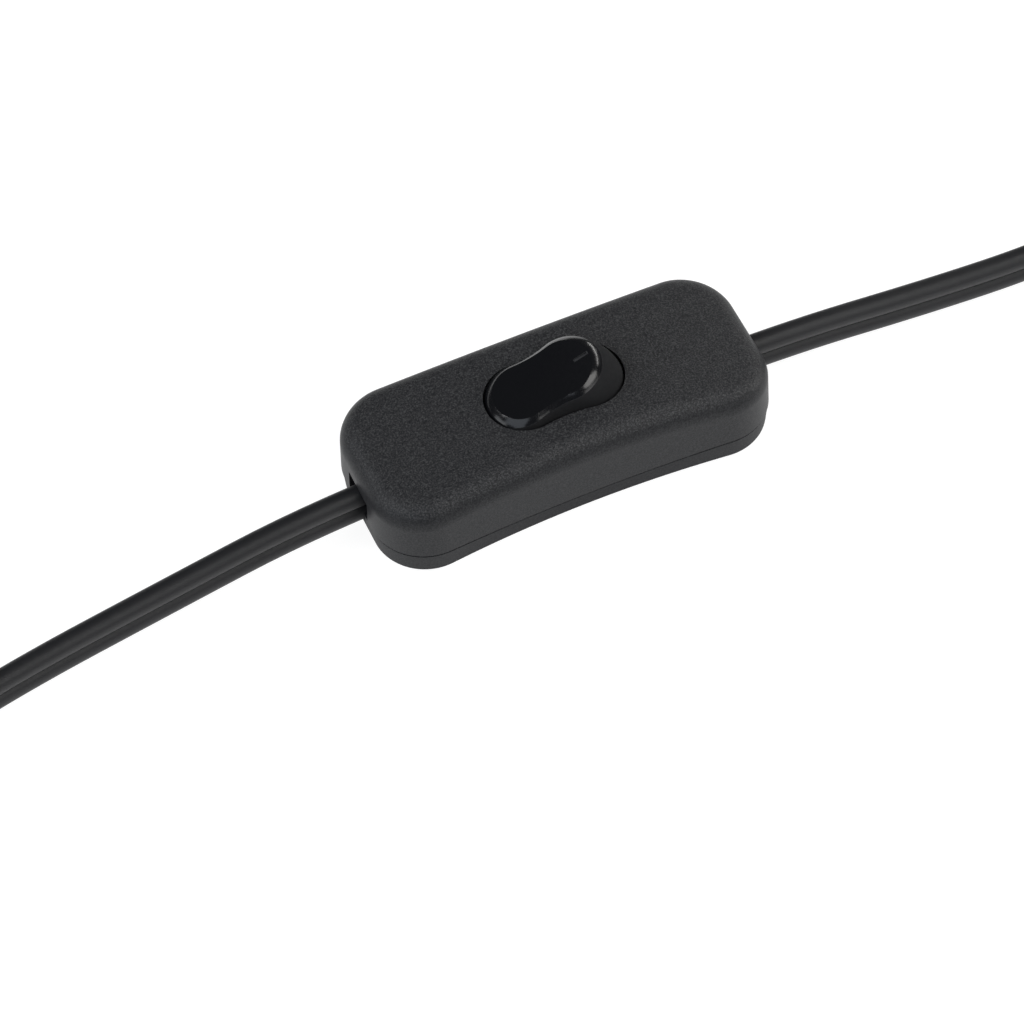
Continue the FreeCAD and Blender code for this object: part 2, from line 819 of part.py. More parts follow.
def rectangle(x, y, z, width, height, corner):
    half_y = width / 2
    half_z = height / 2
    plate = Part.makeBox(overrun, width, height, point(x, y - half_y, z - half_z))
    along = [edge for edge in plate.Edges if edge.BoundBox.XLength > overrun / 2]
    plate = plate.makeFillet(corner, along)
    for face in plate.Faces:
        if face.BoundBox.XMax < x + tolerance:
            return face.OuterWire
    return None


def make_plug_body():
    grip = plug_start - plug_length * plug_grip_share
    shoulder = plug_face + plug_length * plug_head_share
    sections = []
    for x, width, height in ((plug_start, plug_neck_width, plug_neck_height),
                             (grip, plug_grip_width, plug_grip_height),
                             (shoulder, plug_width, plug_height),
                             (plug_face, plug_width, plug_height)):
        sections.append(rectangle(x, plug_across, plug_level, width, height, plug_corner))
    body = Part.makeLoft(sections, True, True)
    for side in (1, -1):
        body = body.cut(blade(side, plug_face + blade_root, plug_face - overrun, False))
    return body


def blade(side, root, tip, with_hole):
    y = plug_across + side * blade_spacing / 2
    half_z = blade_height / 2
    z = plug_level
    piece = block(tip, root, y - blade_thickness / 2, y + blade_thickness / 2, z - half_z, z + half_z)
    if with_hole:
        corners = [edge for edge in piece.Edges
                   if edge.BoundBox.YLength > blade_thickness - tolerance
                   and edge.BoundBox.XMax < tip + tolerance]
        piece = piece.makeChamfer(blade_tip_chamfer, corners)
        piece = piece.cut(across(blade_hole_diameter, y - overrun, y + overrun, tip + blade_hole_from_tip, z))
    return piece


def make_plug_blades():
    tip = plug_face - blade_length
    return Part.makeCompound([blade(side, plug_face + blade_root, tip, True) for side in (1, -1)])


def make_lamp_cores(from_x, length, diameter):
    cores = []
    for level in (1, -1):
        z = lamp_level + level * core_spacing / 2
        cores.append(Part.makeCylinder(diameter / 2, length, point(from_x, right_hank_across, z), X))
    return cores


def make_left_hank():
    return make_hank(left_hank_middle, left_hank_across, left_hank_length, left_hank_width,
                     left_hank_hollow, left_hank_corner)


def make_right_hank():
    return make_hank(right_hank_middle, right_hank_across, right_hank_length, right_hank_width,
                     right_hank_hollow, right_hank_corner)


def make_left_tie():
    return make_tie(left_hank_middle, left_hank_across, left_hank_width - 2 * left_hank_hollow)


def make_right_tie():
    return make_tie(right_hank_middle, right_hank_across, right_hank_width - 2 * right_hank_hollow)


def make_lamp_insulation():
    return Part.makeCompound(make_lamp_cores(lamp_start, lamp_core_length, split_core_diameter))


def make_lamp_ends():
    from_x = lamp_start + lamp_core_length
    return Part.makeCompound(make_lamp_cores(from_x, lamp_strip_length, copper_diameter))


def main():
    os.makedirs("parts", exist_ok=True)
    nodes = {
        "base_shell": make_base_shell(),
        "top_cover": make_top_cover(),
        "housing_screws": make_housing_screws(),
        "rocker_button": make_rocker_button(),
        "plunger": make_plunger(),
        "contact_spring": make_contact_spring(),
        "contact_lever": make_contact_lever(),
        "moving_contact": make_moving_contact(),
        "fixed_contact": make_fixed_contact(),
        "switched_terminal": make_switched_terminal(),
        "common_terminal": make_common_terminal(),
        "neutral_link": make_neutral_link(),
        "terminal_screws": make_terminal_screws(),
        "left_live_core": make_core(-1, True),
        "left_neutral_core": make_core(-1, False),
        "right_live_core": make_core(1, True),
        "right_neutral_core": make_core(1, False),
        "core_ends": make_core_ends(),
        "left_cord": cord_tube("left_cord", left_route),
        "right_cord": cord_tube("right_cord", right_route),
        "left_hank": make_left_hank(),
        "left_hank_tie": make_left_tie(),
        "right_hank": make_right_hank(),
        "right_hank_tie": make_right_tie(),
        "plug_lead": straight_cord(plug_start, left_hank_far, plug_across, plug_level),
        "plug_body": make_plug_body(),
        "plug_blades": make_plug_blades(),
        "lamp_lead": straight_cord(right_hank_far, lamp_start, right_hank_across, lamp_level),
        "lamp_cores": make_lamp_insulation(),
        "lamp_ends": make_lamp_ends(),
    }
    for name, shape in nodes.items():
        if not shape.isValid():
            print(name, "is not valid")
        box = shape.BoundBox
        print(name, "volume", round(shape.Volume, 1), "x", round(box.XMin, 2), round(box.XMax, 2),
              "y", round(box.YMin, 2), round(box.YMax, 2), "z", round(box.ZMin, 2), round(box.ZMax, 2))
        shape.exportStep("parts/" + name + ".step")


main()
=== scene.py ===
import bpy, bmesh, json, math
from mathutils import Matrix, Quaternion, Vector


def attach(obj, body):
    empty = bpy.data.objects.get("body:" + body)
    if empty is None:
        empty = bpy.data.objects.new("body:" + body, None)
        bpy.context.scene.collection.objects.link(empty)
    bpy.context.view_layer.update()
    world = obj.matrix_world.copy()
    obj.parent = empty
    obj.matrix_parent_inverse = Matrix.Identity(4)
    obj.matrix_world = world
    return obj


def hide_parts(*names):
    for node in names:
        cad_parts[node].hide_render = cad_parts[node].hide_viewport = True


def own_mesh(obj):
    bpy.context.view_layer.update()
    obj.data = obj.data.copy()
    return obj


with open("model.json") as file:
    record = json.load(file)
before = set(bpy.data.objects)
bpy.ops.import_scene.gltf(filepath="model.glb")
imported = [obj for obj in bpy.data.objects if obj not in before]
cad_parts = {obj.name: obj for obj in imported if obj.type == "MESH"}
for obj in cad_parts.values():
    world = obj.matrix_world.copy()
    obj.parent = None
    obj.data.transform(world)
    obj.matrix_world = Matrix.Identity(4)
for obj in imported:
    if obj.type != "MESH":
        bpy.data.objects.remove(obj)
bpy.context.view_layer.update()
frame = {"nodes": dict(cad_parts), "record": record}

scene = bpy.context.scene
scene.view_settings.view_transform = "Standard"
mm = 0.001
mergeWithin = 0.001 * mm
# edges that turn by more degrees than this stay sharp
smoothBelow = 35


# ---- camera: angles in degrees, distance and clip in metres, lens and sensor in mm
camera = {"azimuth": 22.905, "elevation": 53.847, "roll": -2.17, "distance": 0.5627,
          "lens": 140.48, "sensor": 36, "shiftX": -0.0434, "shiftY": -0.0634, "clip": (0.01, 20)}


def addCamera(spec):
    az, el, roll = (math.radians(spec[k]) for k in ("azimuth", "elevation", "roll"))
    back = Vector((-math.sin(az) * math.cos(el), -math.cos(az) * math.cos(el), math.sin(el)))
    right = Vector((0, 0, 1)).cross(back).normalized()
    up = back.cross(right)
    turnedRight = right * math.cos(roll) + up * math.sin(roll)
    turnedUp = up * math.cos(roll) - right * math.sin(roll)
    data = bpy.data.cameras.new("viewCamera")
    data.sensor_width = spec["sensor"]
    data.lens = spec["lens"]
    data.shift_x = spec["shiftX"]
    data.shift_y = spec["shiftY"]
    data.clip_start, data.clip_end = spec["clip"]
    obj = bpy.data.objects.new("viewCamera", data)
    turn = Matrix((turnedRight, turnedUp, back)).transposed().to_4x4()
    obj.matrix_world = Matrix.Translation(back * spec["distance"]) @ turn
    scene.collection.objects.link(obj)
    scene.camera = obj


addCamera(camera)
print("camera placed")


# ---- finishes: noise on Object coordinates gives each its mottle, gloss and grain
# color, dark: the two shades that are mixed, dark also being the housing's painted side shade; mottle: features
# per metre; shine: specular level
# gloss: roughness low and high; grain: features per metre, height in mm, strength
# glintSpecks: the painted glint shade of the lightest grains; ribs: per metre, distortion, height in mm,
# strength
finishes = {
    "housing": {"color": (0.0320, 0.0323, 0.0342, 1), "dark": (0.0092, 0.0097, 0.0114, 1), "mottle": 3000,
                "shine": 0.21, "gloss": (0.36, 0.56), "grain": (4600, 0.08, 1.0),
                "glintSpecks": (0.064, 0.065, 0.067, 1)},
    "rocker": {"color": (0.0055, 0.0058, 0.0070, 1), "dark": (0.0045, 0.0048, 0.0060, 1), "mottle": 120,
               "shine": 0.44, "gloss": (0.145, 0.195), "grain": (1500, 0.003, 0.2)},
    "cord_pvc": {"color": (0.0098, 0.0101, 0.0118, 1), "dark": (0.0076, 0.0079, 0.0094, 1), "mottle": 500,
                 "shine": 0.45, "gloss": (0.45, 0.53), "grain": (2600, 0.012, 0.35)},
    "plug_plastic": {"color": (0.0150, 0.0150, 0.0160, 1), "dark": (0.0105, 0.0105, 0.0115, 1), "mottle": 700,
                     "shine": 0.35, "gloss": (0.38, 0.50), "grain": (2200, 0.03, 0.5)},
    "tie_plastic": {"color": (0.018, 0.018, 0.018, 1), "dark": (0.010, 0.010, 0.010, 1), "mottle": 1400,
                    "shine": 0.35, "gloss": (0.55, 0.75), "grain": (1800, 0.08, 0.8),
                    "ribs": (390, 1.5, 0.18, 0.9)},
    "inner_plastic": {"color": (0.78, 0.75, 0.68, 1), "dark": (0.70, 0.66, 0.58, 1), "mottle": 400,
                      "shine": 0.5, "gloss": (0.35, 0.48), "grain": (2000, 0.01, 0.3)},
    "brass": {"color": (0.80, 0.60, 0.28, 1), "dark": (0.62, 0.44, 0.18, 1), "mottle": 500, "metal": 1,
              "shine": 0.5, "gloss": (0.24, 0.42), "grain": (3000, 0.008, 0.4)},
    "silver_contact": {"color": (0.86, 0.86, 0.83, 1), "dark": (0.66, 0.66, 0.64, 1), "mottle": 900, "metal": 1,
                       "shine": 0.5, "gloss": (0.22, 0.40), "grain": (3000, 0.006, 0.4)},
    "steel": {"color": (0.66, 0.66, 0.67, 1), "dark": (0.48, 0.49, 0.51, 1), "mottle": 800, "metal": 1,
              "shine": 0.5, "gloss": (0.26, 0.44), "grain": (3500, 0.008, 0.4)},
    "spring_steel": {"color": (0.55, 0.55, 0.57, 1), "dark": (0.40, 0.40, 0.43, 1), "mottle": 1500, "metal": 1,
                     "shine": 0.5, "gloss": (0.22, 0.36), "grain": (6000, 0.004, 0.3)},
    "copper": {"color": (0.88, 0.45, 0.27, 1), "dark": (0.66, 0.29, 0.16, 1), "mottle": 900, "metal": 1,
               "shine": 0.5, "gloss": (0.24, 0.42), "grain": (3000, 0.01, 0.4)},
    "blade_metal": {"color": (0.80, 0.74, 0.60, 1), "dark": (0.62, 0.56, 0.43, 1), "mottle": 260, "metal": 1,
                    "shine": 0.5, "gloss": (0.20, 0.38), "grain": (2600, 0.006, 0.4)},
}
# the part of the noise's range that is spread over the shades, the painted glint specks and the roughness
spread = {"mottle": (0.26, 0.72), "glintSpecks": (0.47, 0.66), "gloss": (0.3, 0.7)}
# detail and roughness of the two noises
noiseDetail = {"mottle": (3, 0.5), "grain": (2.5, 0.6)}
# the housing's grain is full where it faces up and fades on its sides, and its colour there is painted darker as
# shade: normal's height, least share kept
grainFadeAndSideShade = {"side": 0.55, "top": 0.85, "least": 0.25}
# and it is rougher where it faces down: normal's height from and to, and the roughness added
underside = {"full": -0.20, "none": 0.0, "added": 0.35}
# the rocker's skirt is satin: how far up it faces, less a share of how far along X, and the roughness added
skirt = {"satin": 0.60, "glossy": 0.70, "lean": 0.35, "added": 0.80}
# the line at the rocker's far end: its middle, half sizes and soft edge in mm, the heights it fades in
# between, and the roughness added
lineMark = {"along": 4.10, "halfLength": 0.97, "halfWidth": 0.17, "fade": 0.13, "lowEnd": 12.0, "highEnd": 13.0,
            "shade": (0.022, 0.022, 0.025, 1), "added": 0.4}
# painted shade: the cord's groove darkens inward of this distance from the cord's middle, over the fade, in mm
paintedGrooveShade = {"attribute": "grooveShade", "shade": (0.003, 0.003, 0.003, 1), "added": 0.35,
              "away": 1.12, "fade": 0.20}


def newMaterial(name):
    mat = bpy.data.materials.new(name)
    mat.use_nodes = True
    tree = mat.node_tree
    return mat, tree, tree.nodes["Principled BSDF"]


def noiseOf(tree, coords, scale, detail, roughness):
    made = tree.nodes.new("ShaderNodeTexNoise")
    made.inputs["Scale"].default_value = scale
    made.inputs["Detail"].default_value = detail
    made.inputs["Roughness"].default_value = roughness
    tree.links.new(coords, made.inputs["Vector"])
    return made.outputs["Fac"]


def mathOf(tree, operation, first, second=None):
    made = tree.nodes.new("ShaderNodeMath")
    made.operation = operation
    for socket, value in zip(made.inputs, (first, second)):
        if isinstance(value, (int, float)):
            socket.default_value = value
        elif value is not None:
            tree.links.new(value, socket)
    return made.outputs["Value"]


def rangeOf(tree, value, low, high, newLow=0.0, newHigh=1.0):
    made = tree.nodes.new("ShaderNodeMapRange")
    for socket, number in (("From Min", low), ("From Max", high), ("To Min", newLow), ("To Max", newHigh)):
        made.inputs[socket].default_value = number
    tree.links.new(value, made.inputs["Value"])
    return made.outputs["Result"]


# 1 where the value is within half a width of the middle, fading to 0
def bandOf(tree, value, middle, half, fade):
    away = mathOf(tree, "ABSOLUTE", mathOf(tree, "SUBTRACT", value, middle * mm))
    return rangeOf(tree, away, half * mm, (half + fade) * mm, 1.0, 0.0)


def mixOf(tree, mask, below, above):
    made = tree.nodes.new("ShaderNodeMix")
    made.data_type = "RGBA"
    tree.links.new(mask, made.inputs["Factor"])
    for socket, value in (("A", below), ("B", above)):
        place = [item for item in made.inputs if item.name == socket and item.type == "RGBA"][0]
        if isinstance(value, tuple):
            place.default_value = value
        else:
            tree.links.new(value, place)
    return [item for item in made.outputs if item.type == "RGBA"][0]


def bumpOn(tree, height, settings, below=None):
    made = tree.nodes.new("ShaderNodeBump")
    made.inputs["Distance"].default_value = settings[0] * mm
    made.inputs["Strength"].default_value = settings[1]
    tree.links.new(height, made.inputs["Height"])
    if below:
        tree.links.new(below, made.inputs["Normal"])
    return made.outputs["Normal"]


# X, Y and Z of the way the surface faces
def facingOf(tree):
    split = tree.nodes.new("ShaderNodeSeparateXYZ")
    tree.links.new(tree.nodes.new("ShaderNodeNewGeometry").outputs["Normal"], split.inputs["Vector"])
    return split.outputs


def markMask(tree, places):
    along = bandOf(tree, places["X"], lineMark["along"], lineMark["halfLength"], lineMark["fade"])
    across = bandOf(tree, places["Y"], 0, lineMark["halfWidth"], lineMark["fade"])
    high = rangeOf(tree, places["Z"], lineMark["lowEnd"] * mm, lineMark["highEnd"] * mm)
    return mathOf(tree, "MULTIPLY", mathOf(tree, "MULTIPLY", along, across), high)


def makeFinish(name, spec):
    mat, tree, shader = newMaterial(name)
    coords = tree.nodes.new("ShaderNodeTexCoord").outputs["Object"]
    split = tree.nodes.new("ShaderNodeSeparateXYZ")
    tree.links.new(coords, split.inputs["Vector"])
    mottle = rangeOf(tree, noiseOf(tree, coords, spec["mottle"], *noiseDetail["mottle"]), *spread["mottle"])
    color = mixOf(tree, mottle, spec["dark"], spec["color"])
    grain = noiseOf(tree, coords, spec["grain"][0], *noiseDetail["grain"])
    if name == "housing":
        up = rangeOf(tree, facingOf(tree)["Z"], grainFadeAndSideShade["side"], grainFadeAndSideShade["top"], grainFadeAndSideShade["least"], 1.0)
        grain = mathOf(tree, "ADD", mathOf(tree, "MULTIPLY", mathOf(tree, "SUBTRACT", grain, 0.5), up), 0.5)
        # painted shade: the housing's sides take the dark colour, its upward faces the lighter one
        color = mixOf(tree, up, spec["dark"], color)
        # painted glints: the lightest grains take a lighter colour, fading with the grain on the sides
        color = mixOf(tree, rangeOf(tree, grain, *spread["glintSpecks"]), color, spec["glintSpecks"])
    gloss = rangeOf(tree, grain, *spread["gloss"], *spec["gloss"])
    normal = bumpOn(tree, grain, spec["grain"][1:])
    if name == "housing":
        added = rangeOf(tree, facingOf(tree)["Z"], underside["full"], underside["none"], underside["added"], 0.0)
        gloss = mathOf(tree, "ADD", gloss, added)
    if "ribs" in spec:
        wave = tree.nodes.new("ShaderNodeTexWave")
        wave.inputs["Scale"].default_value = spec["ribs"][0]
        wave.inputs["Distortion"].default_value = spec["ribs"][1]
        tree.links.new(coords, wave.inputs["Vector"])
        normal = bumpOn(tree, wave.outputs["Fac"], spec["ribs"][2:], normal)
    if name == "rocker":
        mask = markMask(tree, split.outputs)
        color = mixOf(tree, mask, color, lineMark["shade"])
        gloss = mathOf(tree, "ADD", gloss, mathOf(tree, "MULTIPLY", mask, lineMark["added"]))
        facing = facingOf(tree)
        upright = mathOf(tree, "SUBTRACT", facing["Z"], mathOf(tree, "MULTIPLY", facing["X"], skirt["lean"]))
        added = rangeOf(tree, upright, skirt["satin"], skirt["glossy"], skirt["added"], 0.0)
        gloss = mathOf(tree, "ADD", gloss, added)
    if name == "cord_pvc":
        # painted shade in the cord's groove, darker and rougher toward its floor
        groove = tree.nodes.new("ShaderNodeAttribute")
        groove.attribute_name = paintedGrooveShade["attribute"]
        color = mixOf(tree, groove.outputs["Fac"], color, paintedGrooveShade["shade"])
        gloss = mathOf(tree, "ADD", gloss, mathOf(tree, "MULTIPLY", groove.outputs["Fac"], paintedGrooveShade["added"]))
    tree.links.new(color, shader.inputs["Base Color"])
    tree.links.new(gloss, shader.inputs["Roughness"])
    tree.links.new(normal, shader.inputs["Normal"])
    shader.inputs["Metallic"].default_value = spec.get("metal", 0)
    shader.inputs["Specular IOR Level"].default_value = spec["shine"]
    return mat


materials = {name: makeFinish(name, spec) for name, spec in finishes.items()}
print("finishes made")


# ---- floor, world and lamps; floor sizes in metres
studio = {"floorSize": 3.0, "floorBelow": 0.0002, "floorColor": (0.25, 0.25, 0.25, 1), "floorRoughness": 0.9,
          "floorShine": 0.1, "floorGlow": 0.91, "worldColor": (0.95, 0.97, 1, 1), "worldStrength": 0.06}


def addFloor(spec):
    mesh = bpy.data.meshes.new("studioFloor")
    bm = bmesh.new()
    bmesh.ops.create_grid(bm, x_segments=1, y_segments=1, size=spec["floorSize"])
    bmesh.ops.translate(bm, verts=bm.verts, vec=(0, 0, -spec["floorBelow"]))
    bm.to_mesh(mesh)
    bm.free()
    obj = bpy.data.objects.new("studioFloor", mesh)
    scene.collection.objects.link(obj)
    mat, tree, shader = newMaterial("studioWhite")
    shader.inputs["Base Color"].default_value = spec["floorColor"]
    shader.inputs["Roughness"].default_value = spec["floorRoughness"]
    shader.inputs["Specular IOR Level"].default_value = spec["floorShine"]
    shader.inputs["Emission Color"].default_value = (1, 1, 1, 1)
    shader.inputs["Emission Strength"].default_value = spec["floorGlow"]
    mesh.materials.append(mat)


def addWorld(spec):
    world = bpy.data.worlds.new("studioWorld")
    world.use_nodes = True
    back = world.node_tree.nodes["Background"]
    back.inputs["Color"].default_value = spec["worldColor"]
    back.inputs["Strength"].default_value = spec["worldStrength"]
    scene.world = world


# turn from +X, height and roll in degrees, distance and both sizes in metres, power in watts, colour
# a lamp nearer than roundWithin is an ellipse
roundWithin = 1
lamps = {
    "leftBox": (-154, 37, 0, 1.2, 0.9, 0.75, 3.1, (0.84, 0.91, 1.0)),
    "leftLow": (176, 12, 0, 1.2, 0.6, 0.3, 1.2, (0.94, 0.97, 1.0)),
    "frontBox": (-64, 35, 0, 1.2, 0.95, 0.6, 3.5, (1.0, 0.99, 0.98)),
    "rightBox": (-10, 14, 0, 1.2, 0.40, 0.30, 4.2, (1.0, 0.99, 0.97)),
    "backStrip": (34, 33, 45, 1.2, 0.06, 1.2, 2.4, (1.0, 0.99, 0.97)),
    "backLeft": (160, 42, 0, 1.2, 0.5, 0.5, 5.2, (0.97, 0.98, 1.0)),
    "topRight": (-52, 62, 0, 0.3, 0.22, 0.09, 0.22, (1.0, 0.99, 0.97)),
}


def addLamps(table):
    for name, (turn, height, roll, away, sizeX, sizeY, power, color) in table.items():
        data = bpy.data.lights.new(name, "AREA")
        data.shape = "ELLIPSE" if away < roundWithin else "RECTANGLE"
        data.size = sizeX
        data.size_y = sizeY
        data.energy = power
        data.color = color
        obj = bpy.data.objects.new(name, data)
        around, up = math.radians(turn), math.radians(height)
        place = Vector((math.cos(around) * math.cos(up), math.sin(around) * math.cos(up), math.sin(up)))
        obj.location = place * away
        aim = place.to_track_quat("Z", "Y") @ Quaternion((0, 0, 1), math.radians(roll))
        obj.rotation_euler = aim.to_euler()
        scene.collection.objects.link(obj)


addFloor(studio)
addWorld(studio)
addLamps(lamps)
print("studio lit")


# ---- flat twin cord
# in mm; reach: how far round each back is a circle, in degrees from its top, in that many steps
# pressed: how much slimmer the cord lies in its hank than where it is seen
# levels: heights of a hank's layers; drawn: share of the way from waist to end, half way along
# endTurns: degrees round a hank's end, where it swings out by the factor bulge
cordShape = {"thick": 3.15, "wide": 6.2, "groove": 0.52, "reach": 141, "reachSteps": 5,
             "profileSteps": 3, "pathSteps": 7, "pressed": 0.952, "levels": (3.95, 9.9), "sag": 0.9,
             "drawn": 0.42, "bulge": 1.03, "endTurns": (62, 31, 0, -31, -62)}

# exit and length in metres; routes, exits and hanks in mm
# runs: the layer of each run of a hank; change: share of a change of layer made at each point of its end
# dropped: points left out at the hank's end, where the cord leaves it
leftRoute = [(-22.6, 0.1, 5.05), (-37, -0.1, 5.0), (-60, -2.5, 3.6), (-82, -5.55, 3.25), (-99, -9.5, 3.2)]
leftHank = {"middle": -156.0, "across": -5.9, "halfLength": 51.3, "halfWidth": 16.1, "halfWaist": 10.9,
            "pitch": 3.1, "heading": -1, "runs": [0, 0, 0, 0, 0, 1, 1, 1, 1, 1, 1],
            "change": (0.1, 0.25, 0.45, 0.65, 0.85, 1.0, 1.0), "dropped": 0}
leftExit = [(-205, -17.8, 9.6), (-213, -12.2, 8.2), (-221, -9.7, 6.4), (-229, -9.5, 6.2), (-236, -9.5, 6.2)]

rightRoute = [(22.6, 0, 4.95), (36, -0.1, 4.95), (57, -1.1, 3.75), (74, -1.7, 3.25), (84, -2.5, 5.4),
              (93, -4.6, 9.7)]
rightHank = {"middle": 129.0, "across": -1.0, "halfLength": 35.3, "halfWidth": 11.1, "halfWaist": 6.8,
             "pitch": 3.1, "heading": 1, "runs": [1, 0, 0],
             "change": (0.0, 0.0, 0.0, 0.0, 0.25, 0.5, 0.8), "dropped": 2}
rightExit = [(144, -7.2, 3.7), (157, -4.4, 3.2), (166, -1.6, 3.0), (171, -1.0, 3.0), (176, -1.0, 3.0)]


# turns of a hank, wound in two layers, drawn in at the tie and resting on the floor at its ends
def hankPoints(hank, shape):
    runs = hank["runs"]
    count = len(runs)
    change = hank["change"]
    levels = shape["levels"]
    turnCentre = hank["halfLength"] - hank["halfWidth"]
    points = []

    def inwardAt(k):
        return (k if k < (count - 1) / 2 else count - 1 - k) / 2 * hank["pitch"]

    for k, layer in enumerate(runs):
        side = -1 if k % 2 == 0 else 1
        way = hank["heading"] if k % 2 == 0 else -hank["heading"]
        wide = hank["halfWidth"] - inwardAt(k)
        waist = hank["halfWaist"] - inwardAt(k)
        between = waist + shape["drawn"] * (wide - waist)
        z = levels[layer]
        before = levels[runs[k - 1]] if k else z
        after = levels[runs[k + 1]] if k + 1 < count else z
        startZ = before + (z - before) * change[-1]
        endZ = z + (after - z) * change[0]
        for part, y, height, sag in ((-1, wide, startZ, 1), (-0.5, between, z, 0.5), (0, waist, z, 0),
                                     (0.5, between, z, 0.5), (1, wide, endZ, 1)):
            points.append((hank["middle"] + way * part * turnCentre, hank["across"] + side * y,
                           height - sag * shape["sag"]))
        if k + 1 < count:
            radius = hank["halfWidth"] - (inwardAt(k) + inwardAt(k + 1)) / 2
            for angle, share in zip(shape["endTurns"], change[1:]):
                turn = math.radians(angle)
                points.append((hank["middle"] + way * (turnCentre + shape["bulge"] * radius * math.cos(turn)),
                               hank["across"] + side * shape["bulge"] * radius * math.sin(turn),
                               z + (after - z) * share - shape["sag"]))
    return points[:len(points) - hank["dropped"]]


# the route's first points, as many as are seen, keep the cord's full thickness
def splineCurve(name, points, steps, seen):
    data = bpy.data.curves.new(name, "CURVE")
    data.dimensions = "3D"
    data.resolution_u = steps
    data.twist_mode = "Z_UP"
    spline = data.splines.new("NURBS")
    spline.points.add(len(points) - 1)
    for number, (point, place) in enumerate(zip(spline.points, points)):
        point.co = (place[0] * mm, place[1] * mm, place[2] * mm, 1)
        point.radius = 1.0 if number < seen else cordShape["pressed"]
    spline.order_u = 3
    spline.use_endpoint_u = True
    obj = bpy.data.objects.new(name, data)
    scene.collection.objects.link(obj)
    return obj


# the cord's section in mm: two round backs with a narrow groove on each side
def cordProfile(shape):
    radius = shape["thick"] / 2
    centre = shape["wide"] / 2 - radius
    steps = shape["reachSteps"]
    turns = [math.radians(shape["reach"] * number / steps) for number in range(-steps, steps + 1)]
    lobe = [(radius * math.sin(turn), centre + radius * math.cos(turn)) for turn in turns]
    places = lobe + [(shape["groove"], 0)] + [(-x, -y) for x, y in lobe] + [(-shape["groove"], 0)]
    data = bpy.data.curves.new("cordSection", "CURVE")
    data.dimensions = "2D"
    data.resolution_u = shape["profileSteps"]
    spline = data.splines.new("BEZIER")
    spline.bezier_points.add(len(places) - 1)
    for point, (x, y) in zip(spline.bezier_points, places):
        point.co = (x * mm, y * mm, 0)
        point.handle_left_type = point.handle_right_type = "AUTO" if y else "VECTOR"
    spline.use_cyclic_u = True
    obj = bpy.data.objects.new("cordSection", data)
    scene.collection.objects.link(obj)
    return obj


def meshOf(obj, name):
    bpy.context.view_layer.update()
    graph = bpy.context.evaluated_depsgraph_get()
    mesh = bpy.data.meshes.new_from_object(obj.evaluated_get(graph))
    mesh.name = name
    return mesh


def addPiece(name, mesh, body="housing"):
    obj = bpy.data.objects.new(name, mesh)
    scene.collection.objects.link(obj)
    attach(obj, body)
    return obj


# 1 at the groove's floor, 0 on the cord's backs, kept with the mesh for the painted shade in its groove
def paintGrooveShade(mesh, path):
    shade = mesh.attributes.new(paintedGrooveShade["attribute"], "FLOAT", "POINT")
    around = len(mesh.vertices) // len(path)
    for number, vertex in enumerate(mesh.vertices):
        away = (vertex.co - path[min(number // around, len(path) - 1)]).length / mm
        shade.data[number].value = max(0.0, min(1.0, (paintedGrooveShade["away"] - away) / paintedGrooveShade["fade"]))


def sweepCord(name, points, profile, seen):
    route = splineCurve(name + "Route", points, cordShape["pathSteps"], seen)
    path = [v.co.copy() for v in meshOf(route, name + "Line").vertices]
    route.data.bevel_mode = "OBJECT"
    route.data.bevel_object = profile
    route.data.use_fill_caps = True
    mesh = meshOf(route, name)
    for face in mesh.polygons:
        face.use_smooth = True
    paintGrooveShade(mesh, path)
    bpy.data.objects.remove(route)
    return addPiece(name, mesh), path


# ---- plug and stripped lamp end: places along X, half widths and heights in mm
# rings and ridges: where along each one its outline stands out
plugShape = {"reliefStart": -212.5, "neck": -221.0, "grip": -229.0, "shoulder": -237.5, "face": -245.0,
             "across": -9.5, "level": 6.2, "around": 64, "squareness": 3.4,
             "reliefHalf": (2.7, 4.0), "neckHalf": (4.0, 4.5), "gripHalf": (6.3, 5.1), "bodyHalf": (10.5, 6.2),
             "rings": 5, "ringDepth": 0.5, "ringParts": ((0, 0), (0.12, 1), (0.58, 1), (0.70, 0)),
             "ridges": 4, "ridgeDepth": 0.35, "ridgeParts": ((0.15, 0), (0.35, 1), (0.65, 1), (0.85, 0)),
             "gripSteps": 7, "edge": 1.1, "edgeTurns": (0, 30, 60, 90),
             "bendFrom": -225.0, "bendBy": (-3.05, 1.95), "bendPower": 1.7}
strandShape = {"start": 185.6, "end": 192.0, "across": -1.0, "levels": (1.55, 4.45), "strands": 6,
               "ringRadius": 0.36, "strandRadius": 0.17, "strandSides": 8, "turns": 0.9, "steps": 36}


